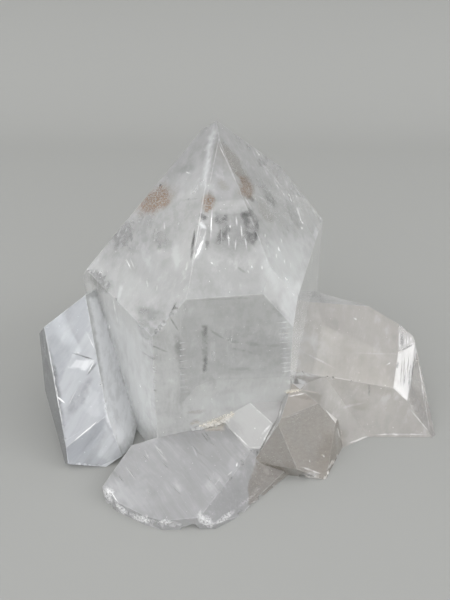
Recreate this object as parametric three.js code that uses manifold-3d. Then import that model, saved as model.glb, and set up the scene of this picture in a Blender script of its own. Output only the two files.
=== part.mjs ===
// Clear quartz cluster: one tall point, with a stout crystal on its left, a lying crystal
// on its right and broken crystals in front, all grown together as one solid.
// Millimetres, +X right, +Y back, +Z up. The cluster stands on its flat underside.
import * as THREE from 'three';
import { ConvexGeometry } from 'three/addons/geometries/ConvexGeometry.js';
import { mergeVertices } from 'three/addons/utils/BufferGeometryUtils.js';
import Module from 'manifold-3d';

const wasm = await Module();
wasm.setup();

// Driving sizes.
// A body is closed by flat faces. Each face is [bearing, rise, reach]: the bearing that it
// looks to (degrees from +X towards +Y), how far it looks upward from level (degrees), and
// its distance from the body's centre (mm). Quartz prism faces are 60 degrees apart and its
// end faces look about 38 degrees upward; small departures are those of this cluster.
const tallPoint = {
  centre: [-5, 10, 110],
  faces: {
    endLeft: [-138.5, 38.2, 77.5],
    endRight: [-20.6, 36, 71.8],
    endBack: [100.7, 38.6, 75.2],
    endFront: [-79.5, 40, 84.3],
    endBackRight: [40.4, 38.3, 101.6],
    endBackLeft: [160.2, 39.2, 82.3],
    cornerFront: [-49.5, 24.4, 85.8],
    front: [-80.4, 3.6, 84.5],
    right: [-18.3, 2.8, 74.2],
    left: [-140.8, 4.5, 92.3],
    backRight: [40.4, 3.6, 117.7],
    backLeft: [160.4, 3.6, 103.9],
    back: [100.4, 3.6, 86.8],
    foot: [0, -90, 110],
  },
};
const leftCrystal = {
  centre: [-104, -61, 30],
  faces: {
    front: [-87, 34.2, 23.2],
    side: [-143, 12.7, 31.8],
    inner: [-12, 19.6, 20.3],
    toe: [-78.5, 23.2, 25.2],
    undercut: [-94.8, -33.6, 48],
    top: [150, 44.9, 72.4],
    back: [158, -7.4, 41.4],
    backLow: [158, -46.8, 23.7],
    undercutInner: [-44.5, -38, 46.2],
    cheek: [1.4, -19.2, 36],
    rear: [90, 0, 61],
    foot: [0, -90, 30],
  },
};
const rightCrystal = {
  centre: [115, -4, 38],
  faces: {
    skirt: [-90.5, 30.3, 39.1],
    slope: [-82.4, 57.6, 24.8],
    tip: [-60, 48.9, 33.1],
    tipUpper: [-60.2, 51.1, 32.4],
    tipSide: [-52.8, 43.9, 37.9],
    end: [16.7, -8.6, 45.8],
    crown: [69.8, 76, 41.2],
    rearTip: [47.4, 23, 37],
    rearEnd: [55.8, 17, 30.7],
    rear: [90, 0, 76],
    joint: [180, 0, 80],
    foot: [0, -90, 38],
  },
};
const frontSlab = {
  centre: [-14, -115, 8],
  faces: {
    broad: [-107.2, 75.3, 10.1],
    shoulder: [-54.9, 45.3, 18.1],
    rimA: [-128.5, 12, 52.3],
    rimB: [-114.1, 12, 41.6],
    rimC: [-105.7, 12, 37.5],
    rimD: [-88.9, 12, 30.5],
    rimE: [-62.4, 15, 29.2],
    rimF: [-50.4, 15, 30.3],
    rear: [106.3, 7.3, 37],
    leftUnder: [144.9, -20.4, 51.5],
    joint: [90, 0, 50],
    jointRight: [0, 0, 74],
    foot: [0, -90, 8],
  },
};
const rightChunk = {
  centre: [66, -77, 22],
  faces: {
    broad: [-63.9, 34.7, 15.5],
    top: [-63.9, 66.7, 23],
    rightUpper: [-48.2, 39.1, 18.2],
    shoulder: [40, 35.5, 17.3],
    side: [-8.2, 15.3, 23.7],
    leftLower: [-92.8, 27.2, 26.7],
    footFront: [-98, -13.5, 36.4],
    footRight: [-34, 15, 20.7],
    jointLeft: [167.2, 29.4, 30.1],
    joint: [90, 0, 39],
    foot: [0, -90, 22],
  },
};
const paleWedge = {
  centre: [19, -76, 25],
  faces: {
    bright: [-117, 47.6, 15.2],
    upper: [-58.8, 75.4, 20],
    right: [-38, -2.3, 22],
    left: [-139.6, -5.7, 18.4],
    nose: [-101.7, -10.1, 24.5],
    joint: [90, 0, 21],
    jointLeft: [180, 0, 24],
    foot: [0, -90, 20],
  },
};
const cornerFoot = {
  centre: [93, -47, 21],
  faces: {
    front: [-65.5, 41.4, 11.1],
    top: [0, 90, 23],
    jointRight: [0, 0, 35],
    jointLeft: [180, 0, 33],
    joint: [90, 0, 17],
    foot: [0, -90, 21],
  },
};
const layerStep = 0.9;      // height of a growth layer above its face
const striaDepth = 0.7;     // depth of the growth lines
const chipSize = 2.2;       // usual radius of the chips along broken edges
const chipSeed = 7;

// The growth layer on the tall point's front: outline in mm right of and above the middle.
const frontLayer = [
  [-38, 60], [60, 60], [60, -49], [39, -47.5], [-20.5, -42], [-31, -46], [-43, -61.5], [-40, 4],
];

// Growth lines that fall to the right on the slab's broad face: start and length.
const slabLineFall = -31;
const slabLineStarts = [
  [-46.5, 11.5, 23], [-52, 2.5, 12], [-60.5, -8.5, 19], [-63.5, -16, 12], [-65.5, -28, 16],
  [-24, -11, 18], [-21, 20.5, 21], [-13.5, 30, 22], [-37.5, -20, 8], [-36, 2, 14], [-2, 1, 13],
];

// The broken rim of the slab and of the chunk beside it, on the ground.
const slabRim = [
  [-91, -125], [-77, -135], [-55, -145], [-43, -148], [-7, -148], [9, -139], [27, -125], [50, -111],
];
const chunkRim = [[57, -107.5], [77, -111], [90, -90]];

// Edges with small chips: body, its two faces, the axis to step along, from, to, how many, size.
const chippedEdges = [
  [tallPoint, 'front', 'endLeft', 'z', 117, 137, 5, 2.2],
  [tallPoint, 'left', 'endLeft', 'z', 116, 124, 2, 1.8],
  [tallPoint, 'front', 'left', 'z', 62, 99, 4, 1.5],
  [tallPoint, 'endLeft', 'endBack', 'x', -14, -12, 1, 1.6],
  [leftCrystal, 'front', 'side', 'z', 20, 60, 4, 1.4],
  [leftCrystal, 'toe', 'undercut', 'x', -122, -88, 6, 1.8],
  [leftCrystal, 'front', 'inner', 'z', 36, 64, 3, 1.3],
  [rightCrystal, 'tip', 'tipSide', 'z', 8, 30, 4, 1.4],
  [rightCrystal, 'slope', 'skirt', 'x', 60, 112, 4, 1.3],
  [frontSlab, 'broad', 'shoulder', 'y', -130, -101, 4, 1.8],
];

// Repeatable pseudo random numbers from 0 to 1.
function numberSource(seed) {
  let state = seed;
  return () => {
    state = (state * 16807) % 2147483647;
    return state / 2147483647;
  };
}

function lookingTo(bearing, rise) {
  const b = THREE.MathUtils.degToRad(bearing);
  const r = THREE.MathUtils.degToRad(rise);
  return new THREE.Vector3(Math.cos(r) * Math.cos(b), Math.cos(r) * Math.sin(b), Math.sin(r));
}

function toSolid(geometry) {
  const bare = geometry.clone();
  for (const name of Object.keys(bare.attributes)) {
    if (name !== 'position') bare.deleteAttribute(name);
  }
  const welded = mergeVertices(bare, 1e-4);
  const mesh = new wasm.Mesh({
    numProp: 3,
    vertProperties: new Float32Array(welded.attributes.position.array),
    triVerts: new Uint32Array(welded.index.array),
  });
  return new wasm.Manifold(mesh);
}

// Planes of a body in world terms: outward normal and distance from the origin.
function planesOf(body) {
  const centre = new THREE.Vector3(...body.centre);
  return Object.values(body.faces).map(([bearing, rise, reach]) => {
    const normal = lookingTo(bearing, rise);
    return { normal, offset: normal.dot(centre) + reach };
  });
}

// The point that three planes share, or null where they don't meet.
function meet(a, b, c) {
  const bc = new THREE.Vector3().crossVectors(b.normal, c.normal);
  const size = a.normal.dot(bc);
  if (Math.abs(size) < 1e-6) return null;
  const point = bc.multiplyScalar(a.offset);
  point.addScaledVector(new THREE.Vector3().crossVectors(c.normal, a.normal), b.offset);
  point.addScaledVector(new THREE.Vector3().crossVectors(a.normal, b.normal), c.offset);
  return point.divideScalar(size);
}

// The corners of a body, and the solid that its flat faces close.
function crystal(body) {
  const planes = planesOf(body);
  const corners = [];
  for (let i = 0; i < planes.length; i += 1) {
    for (let j = i + 1; j < planes.length; j += 1) {
      for (let k = j + 1; k < planes.length; k += 1) {
        const point = meet(planes[i], planes[j], planes[k]);
        if (!point) continue;
        if (planes.some((p) => p.normal.dot(point) > p.offset + 1e-4)) continue;
        if (corners.some((c) => c.distanceTo(point) < 0.02)) continue;
        corners.push(point);
      }
    }
  }
  return toSolid(new ConvexGeometry(corners));
}

// Right, up and outward directions of a face, with its middle as the origin.
function faceFrame(body, name) {
  const [bearing, rise, reach] = body.faces[name];
  const out = lookingTo(bearing, rise);
  const right = new THREE.Vector3(-out.y, out.x, 0).normalize();
  const up = new THREE.Vector3().crossVectors(out, right);
  const origin = new THREE.Vector3(...body.centre).addScaledVector(out, reach);
  return new THREE.Matrix4().makeBasis(right, up, out).setPosition(origin);
}

// A prism over an outline on a face, from one depth to another.
function prismOn(frame, outline, low, high) {
  const shape = new THREE.Shape(outline.map(([x, y]) => new THREE.Vector2(x, y)));
  const geometry = new THREE.ExtrudeGeometry(shape, { depth: high - low, bevelEnabled: false });
  geometry.translate(0, 0, low);
  geometry.applyMatrix4(frame);
  return toSolid(geometry);
}

// The body once more with one face further out, kept only over the outline.
function growthLayer(body, name, outline, step) {
  const [bearing, rise, reach] = body.faces[name];
  const faces = { ...body.faces, [name]: [bearing, rise, reach + step] };
  const thicker = crystal({ centre: body.centre, faces });
  return thicker.intersect(prismOn(faceFrame(body, name), outline, -2, step + 2));
}

// A V-shaped line along a face, from one point to another, pointed at both ends.
// It opens just over the given height above the face.
function growthLine(frame, from, to, width, depth, height = 0) {
  const along = new THREE.Vector2(to[0] - from[0], to[1] - from[1]);
  const side = new THREE.Vector2(-along.y, along.x).setLength(width / 2);
  const middle = [(from[0] + to[0]) / 2, (from[1] + to[1]) / 2];
  const points = [
    [from[0], from[1], height + 0.3],
    [to[0], to[1], height + 0.3],
    [middle[0] + side.x, middle[1] + side.y, height + 0.3],
    [middle[0] - side.x, middle[1] - side.y, height + 0.3],
    [middle[0], middle[1], height - depth],
  ].map((p) => new THREE.Vector3(...p).applyMatrix4(frame));
  return toSolid(new ConvexGeometry(points));
}

// An uneven stone-like lump, used both for bites and for crust.
function lump(centre, radii, turn, random) {
  const source = mergeVertices(new THREE.IcosahedronGeometry(1, 0).deleteAttribute('normal')
    .deleteAttribute('uv'), 1e-4);
  const place = source.attributes.position;
  const spin = new THREE.Matrix4().makeRotationFromEuler(new THREE.Euler(turn, turn * 2, turn * 3));
  const points = [];
  for (let i = 0; i < place.count; i += 1) {
    const point = new THREE.Vector3().fromBufferAttribute(place, i);
    point.applyMatrix4(spin).multiplyScalar(0.8 + 0.4 * random());
    point.multiply(new THREE.Vector3(...radii)).add(new THREE.Vector3(...centre));
    points.push(point);
  }
  return toSolid(new ConvexGeometry(points));
}

// The point on the edge of two faces where one coordinate has the given value.
function edgePoint(body, nameA, nameB, axis, value) {
  const planes = planesOf({ centre: body.centre, faces: { a: body.faces[nameA], b: body.faces[nameB] } });
  const across = new THREE.Vector3();
  across[axis] = 1;
  return meet(planes[0], planes[1], { normal: across, offset: value });
}

// Small chips along the edges that are worn or knocked.
function edgeChips(random) {
  const chips = [];
  for (const [body, nameA, nameB, axis, from, to, count, size] of chippedEdges) {
    for (let k = 0; k < count; k += 1) {
      const value = from + ((to - from) * (k + random())) / count;
      const point = edgePoint(body, nameA, nameB, axis, value);
      const r = size * (0.7 + 0.6 * random());
      chips.push(lump(point.toArray(), [r, r, r], 6 * random(), random));
    }
  }
  return chips;
}

// Chips bitten out of a broken rim that stands on the ground, from its foot to its top.
function rimChips(rim, top, random) {
  const chips = [];
  for (let i = 0; i < rim.length - 1; i += 1) {
    const [x, y] = rim[i];
    const dx = rim[i + 1][0] - x;
    const dy = rim[i + 1][1] - y;
    const count = Math.round(Math.hypot(dx, dy) / 5);
    for (let k = 0; k < count; k += 1) {
      const t = (k + random()) / count;
      const inward = 1.5 * random() - 1;
      const r = chipSize * (0.6 + 0.8 * random());
      const centre = [x + dx * t, y + dy * t + inward, 1 + top * random()];
      chips.push(lump(centre, [r * 1.3, r, r], 6 * random(), random));
    }
  }
  return chips;
}

// The larger bays in the slab's rim.
function rimBays(random) {
  return [
    lump([-24, -150, 0], [9, 5.5, 7], 0.6, random),
    lump([-84, -133, 0], [5, 4, 6], 1.4, random),
    lump([24, -132, 0], [8, 4, 6], 2.2, random),
    lump([43, -118, 0], [8, 4, 6], 0.9, random),
  ];
}

// Long growth lines that run down the broad face of the front slab.
function slabLines() {
  const frame = faceFrame(frontSlab, 'broad');
  const fall = THREE.MathUtils.degToRad(slabLineFall);
  return slabLineStarts.map(([x, y, length]) => {
    const end = [x + length * Math.cos(fall), y + length * Math.sin(fall)];
    return growthLine(frame, [x, y], end, 1.4, striaDepth);
  });
}

// Short level growth lines that cross the two upright borders of the tall point's front layer.
function frontLines(random) {
  const frame = faceFrame(tallPoint, 'front');
  const lines = [];
  for (let k = 0; k < 11; k += 1) {
    const y = 1 - 4.4 * k + 1.5 * random();
    const right = 34 - 0.12 * y;
    const from = [right - 10 + 3 * random(), y];
    lines.push(growthLine(frame, from, [right + 5, y], 2, striaDepth, layerStep));
  }
  for (let k = 0; k < 9; k += 1) {
    const y = -6 - 5.6 * k + 1.5 * random();
    const to = [-36 + 3 * random(), y];
    lines.push(growthLine(frame, [-46, y], to, 2, striaDepth, layerStep));
  }
  return lines;
}

// Steep growth lines on the bright end face of the right crystal.
function tipLines() {
  const frame = faceFrame(rightCrystal, 'tip');
  const starts = [[25, -17], [29, -16], [34, -16]];
  return starts.map(([x, y]) => growthLine(frame, [x, y], [x - 23, y - 30], 1.6, striaDepth));
}

// Cream crust in the seam between the tall point and the front slab.
function crust(random) {
  const lumps = [];
  for (let k = 0; k < 9; k += 1) {
    const x = -24 + 3.2 * k + random();
    const z = 24.5 + 0.9 * k + 2 * random();
    lumps.push(lump([x, -84 + 0.35 * k, z], [3 + random(), 2.6, 2 + random()], 6 * random(), random));
  }
  for (let k = 0; k < 4; k += 1) {
    lumps.push(lump([53 + 4 * k, -55 + k, 37 + random()], [3.4, 3, 2.2], 6 * random(), random));
  }
  return lumps;
}

function join(solids) {
  return solids.reduce((sum, solid) => sum.add(solid));
}

// The cluster's one body: slivers that a cut leaves loose, inside or outside, are dropped.
function mainBody(solid) {
  return solid.decompose().reduce((best, body) => (body.volume() > best.volume() ? body : best));
}

// Everything grown together, less the chips and lines, cut flat where it stands.
function clusterSolid() {
  const random = numberSource(chipSeed);
  const grown = [
    crystal(tallPoint),
    growthLayer(tallPoint, 'front', frontLayer, layerStep),
    crystal(leftCrystal),
    crystal(rightCrystal),
    crystal(frontSlab),
    crystal(rightChunk),
    crystal(paleWedge),
    crystal(cornerFoot),
    ...crust(random),
  ];
  const taken = [
    ...rimChips(slabRim, 8, random),
    ...rimChips(chunkRim, 6, random),
    ...rimBays(random),
    ...edgeChips(random),
    ...slabLines(),
    ...frontLines(random),
    ...tipLines(),
  ];
  const ground = toSolid(new THREE.BoxGeometry(900, 900, 200).translate(0, 0, -100));
  return mainBody(join(grown).subtract(join(taken)).subtract(ground));
}

// The solid as a mesh, set over the middle of its own outline.
function clusterMesh() {
  const mesh = clusterSolid().getMesh();
  const geometry = new THREE.BufferGeometry();
  geometry.setAttribute('position', new THREE.BufferAttribute(new Float32Array(mesh.vertProperties), 3));
  geometry.setIndex(new THREE.BufferAttribute(new Uint32Array(mesh.triVerts), 1));
  geometry.computeBoundingBox();
  const box = geometry.boundingBox;
  geometry.translate(-(box.min.x + box.max.x) / 2, -(box.min.y + box.max.y) / 2, -box.min.z);
  geometry.computeVertexNormals();
  const material = new THREE.MeshStandardMaterial({ color: 0xdfe3e2, roughness: 0.08, metalness: 0 });
  const part = new THREE.Mesh(geometry, material);
  part.name = 'quartz_cluster';
  return part;
}

const group = new THREE.Group();
group.name = 'clear_quartz_cluster';
group.add(clusterMesh());

export default group;
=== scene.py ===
"""Clear quartz cluster: one grown crystal body, with the milk, veils, stains and cracks in it."""

import math

import bmesh
import bpy
import numpy as np
from mathutils import Matrix, Vector, geometry, noise
from mathutils.bvhtree import BVHTree


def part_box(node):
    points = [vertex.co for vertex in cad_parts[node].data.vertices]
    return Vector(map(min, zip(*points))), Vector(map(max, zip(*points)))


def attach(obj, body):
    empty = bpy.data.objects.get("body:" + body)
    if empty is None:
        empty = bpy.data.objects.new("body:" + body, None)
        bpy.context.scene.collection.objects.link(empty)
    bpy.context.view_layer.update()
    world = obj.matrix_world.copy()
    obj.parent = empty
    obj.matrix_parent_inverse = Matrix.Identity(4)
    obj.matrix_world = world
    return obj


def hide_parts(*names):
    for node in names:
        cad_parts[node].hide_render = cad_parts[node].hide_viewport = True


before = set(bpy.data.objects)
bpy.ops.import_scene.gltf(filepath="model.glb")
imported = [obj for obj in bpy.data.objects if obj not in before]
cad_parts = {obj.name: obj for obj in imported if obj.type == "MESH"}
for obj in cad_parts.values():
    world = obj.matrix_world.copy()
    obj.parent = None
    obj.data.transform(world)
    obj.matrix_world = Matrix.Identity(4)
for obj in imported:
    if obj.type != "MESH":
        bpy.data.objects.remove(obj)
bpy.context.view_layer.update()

MM = 0.001
SEED = 11

# The photograph's camera in the part's frame, and its picture in pixels. The sensor's width is
# laid along the picture's longer side.
PICTURE_SIZE = (450, 600)
PICTURE_MIDDLE = (PICTURE_SIZE[0] / 2, PICTURE_SIZE[1] / 2)
CAMERA_PLACE = Vector((-14.7, -285.1, 290.0)) * MM
CAMERA_TILT = math.radians(33.7)
CAMERA_LENS = 25.2
SENSOR_WIDTH = 36
PIXELS_PER_SLOPE = CAMERA_LENS / SENSOR_WIDTH * PICTURE_SIZE[1]

# The pixels between which the cluster lies in the photograph.
OBJECT_ACROSS = (38, 436)
OBJECT_DOWN = (118, 530)

# The stage, in metres: how far it reaches to the front, to the sides and up, where its floor
# ends, the radius of the bend behind it, and how far it lies below the part. The bend is made of
# that many flat strips.
STAGE_REACH = 4
STAGE_FLOOR_END = 0.9
STAGE_BEND = 0.6
STAGE_BEND_STEPS = 12
STAGE_DROP = 0.0002
STAGE_COLOR = (0.34, 0.343, 0.33)

# The sky's light, least and most, and the direction of the most. Its windows: bearing and height in
# degrees, half width and half height in slope, and light. The camera sees the backdrop's colour.
SKY_LIGHT = (1.15, 1.5)
SKY_BRIGHTEST = (-0.4, -0.1, 0.91)
SKY_TINT = (1.0, 1.0, 1.01)
WINDOWS = [(-8, 31, 0.2, 0.2, 3), (100, 50, 0.3, 0.3, 3)]
BACKDROP_COLOR = (0.40, 0.403, 0.39, 1)

# How much quartz bends light.
IOR = 1.544

# The fine mesh, in mm: the spacing of its points on faces that look towards the camera and on the
# others, and the width of the painted highlight line along sharp edges.
NEAR_SPACING = 1.4
FAR_SPACING = 3.5
EDGE_WIDTH = 0.7

# Corners of the solid that are closer than this, in mm, are joined, and so are neighbouring faces
# that turn less than this.
MERGE_DISTANCE = 0.08
MERGE_ANGLE = math.radians(0.3)

# Faces count as one flat face where the cosine between their normals is above this and they lie
# within this many mm of one plane.
LEVEL_COSINE = 0.99995
LEVEL_DISTANCE = 0.2

# An edge is sharp if it turns more than SHARP_ANGLE between two faces larger than EDGED_AREA. Faces
# smaller than CHIP_AREA are chips, and those smaller than WHOLE_AREA aren't cut finely. Areas are in
# square mm, and sharp edges longer than CORNERED_LENGTH, in mm, mark their corners too.
SHARP_ANGLE = math.radians(10)
EDGED_AREA = 60
CORNERED_LENGTH = 3
CHIP_AREA = 40
WHOLE_AREA = 4

# A point counts as seen in the photograph if nothing lies more than this many mm in front of it.
SEEN_WITHIN = 0.6

# The borders of marks sway by two sizes of noise, in waves per metre, the second weaker.
SWAY_COARSE = 140
SWAY_FINE = 420
SWAY_FINE_SHARE = 0.6

# A stroke fades outward: where it ends and how wide its fade is, in shares of its half size, how
# much its middle is raised, and how ragged its border is, as a share and at most in mm.
STROKE_END = 1.15
STROKE_FADE = 0.8
STROKE_GAIN = 1.3
RAGGED_SHARE = 0.45
RAGGED_MOST = 3

# Strokes up to this width in pixels get points of their own, this far apart along them and at
# these shares of their half width across them.
NARROW_WIDTH = 6
NARROW_STEP = 1.3
NARROW_ROWS = (-1.1, -0.55, 0, 0.55, 1.1)

# Milk inside the crystals: flakes in wisps and how deep they lie, veils and flakes tried on each,
# the veils' half width, half height, bow and least depth, and the sizes of the flakes. Lengths are
# in mm.
WISP_FLAKES = 24000
WISP_DEPTH = (2, 22)
WISP_FLAKE_SIZE = 0.35
VEILS = 26
VEIL_FLAKES = 1800
VEIL_WIDE = (18, 40)
VEIL_TALL = (25, 60)
VEIL_BOW = (-12, 12)
VEIL_DEPTH = 12
FLAKE_SIZE = 0.4
MILK_COLOR = (0.93, 0.94, 0.95)

# Clear quartz: how much light its clear and its opaque places let through, how rough it is where
# it is clear and where it is milky, its gloss, and the colour and density of its absorption.
CLEARNESS = (0.64, 0.1)
ROUGHNESS = (0.06, 0.28)
GLOSS = 0.35
GLOSS_ROUGHNESS = 0.04
ABSORPTION_COLOR = (0.80, 0.82, 0.80, 1)
ABSORPTION_DENSITY = 6.0

# Each crystal: its tint, pixels of the photograph that lie on its faces with how much lighter or
# darker each face is painted, a painted light or shade for how that face is lit, how much milk it
# holds, a line of pixels that its growth marks follow, how far the marks are drawn out along it, how
# strong its growth lines are, how strong the painted highlight along its edges is, and how light its
# chips are.
CRYSTALS = {
    "tall": {
        "tint": (0.83, 0.828, 0.825),
        "faces": {(150, 250): 0.93, (225, 230): 0.88, (280, 220): 0.98, (240, 340): 1.02,
                  (165, 370): 1.12, (125, 350): 1.18, (302, 300): 1.2, (275, 278): 1.05, (225, 402): 1.12},
        "milk": 1.0,
        "grain": (165, 350, 167, 430), "drawn": 0.8, "lines": 0.1, "edge": 0.6, "chips": 0.08,
    },
    "left": {
        "tint": (0.82, 0.85, 0.91),
        "faces": {(75, 360): 1.0, (48, 370): 0.3, (110, 390): 1.2, (95, 440): 1.03},
        "milk": 1.0,
        "grain": (95, 362, 72, 400), "drawn": 0.93, "lines": 0.12, "edge": 1.0, "chips": 0.5,
    },
    "right": {
        "tint": (0.80, 0.765, 0.72),
        "faces": {(350, 340): 0.92, (370, 415): 0.88, (402, 375): 1.0, (418, 410): 0.6,
                  (405, 338): 0.62, (340, 425): 0.85},
        "milk": 0.8,
        "grain": (402, 352, 398, 392), "drawn": 0.85, "lines": 0.05, "edge": 0.25, "chips": 0.25,
    },
    "slab": {
        "tint": (0.66, 0.66, 0.665),
        "faces": {(180, 470): 1.0, (250, 470): 0.86, (150, 522): 0.9},
        "milk": 0.9,
        "grain": (152, 443, 170, 465), "drawn": 0.95, "lines": 0.15, "edge": 0.5, "chips": 0.3,
    },
    "chunk": {
        "tint": (0.48, 0.44, 0.395),
        "faces": {(310, 435): 0.97, (300, 405): 1.3, (275, 460): 0.8},
        "milk": 0.4,
        "grain": (300, 420, 312, 460), "drawn": 0.7, "lines": 0.02, "edge": 0.35, "chips": 0.6,
    },
    "wedge": {
        "tint": (0.92, 0.915, 0.905),
        "faces": {(250, 425): 1.04, (270, 408): 1.0},
        "milk": 0.6,
        "grain": (245, 415, 262, 438), "drawn": 0.7, "lines": 0.05, "edge": 1.0, "chips": 0.3,
    },
}

# What the photograph shows inside the crystals is painted on the faces it is seen through, and so
# is light and shade on them: the haze also holds painted sheen, reflections and light, the smoke
# painted shade, and the white painted highlights. For each kind of mark: its colour, how much it
# hides what lies behind, and how much it is broken up.
MARKS = {
    "haze_and_painted_light": ((0.95, 0.965, 0.985), 0.6, 0.2),
    "tan": ((0.36, 0.31, 0.25), 0.0, 0.3),
    "smoke_and_painted_shade": ((0.08, 0.08, 0.08), 0.0, 0.6),
    "rust": ((0.22, 0.125, 0.06), 0.5, 0.7),
    "cream": ((0.74, 0.69, 0.59), 0.7, 0.3),
    "white_and_painted_highlight": ((1.0, 1.0, 1.0), 0.9, 0.55),
}

# Colours of the crystals' own milk, of their dim places and growth lines, of grit on the rims, and
# of light growth lines, rim specks, chips and the painted highlight along edges.
MILKY = (0.97, 0.975, 0.985, 1)
DIM = (0.42, 0.42, 0.41, 1)
LINE = (0.6, 0.6, 0.6, 1)
GRIT = (0.2, 0.2, 0.19, 1)
WHITE = (1, 1, 1, 1)

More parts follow.
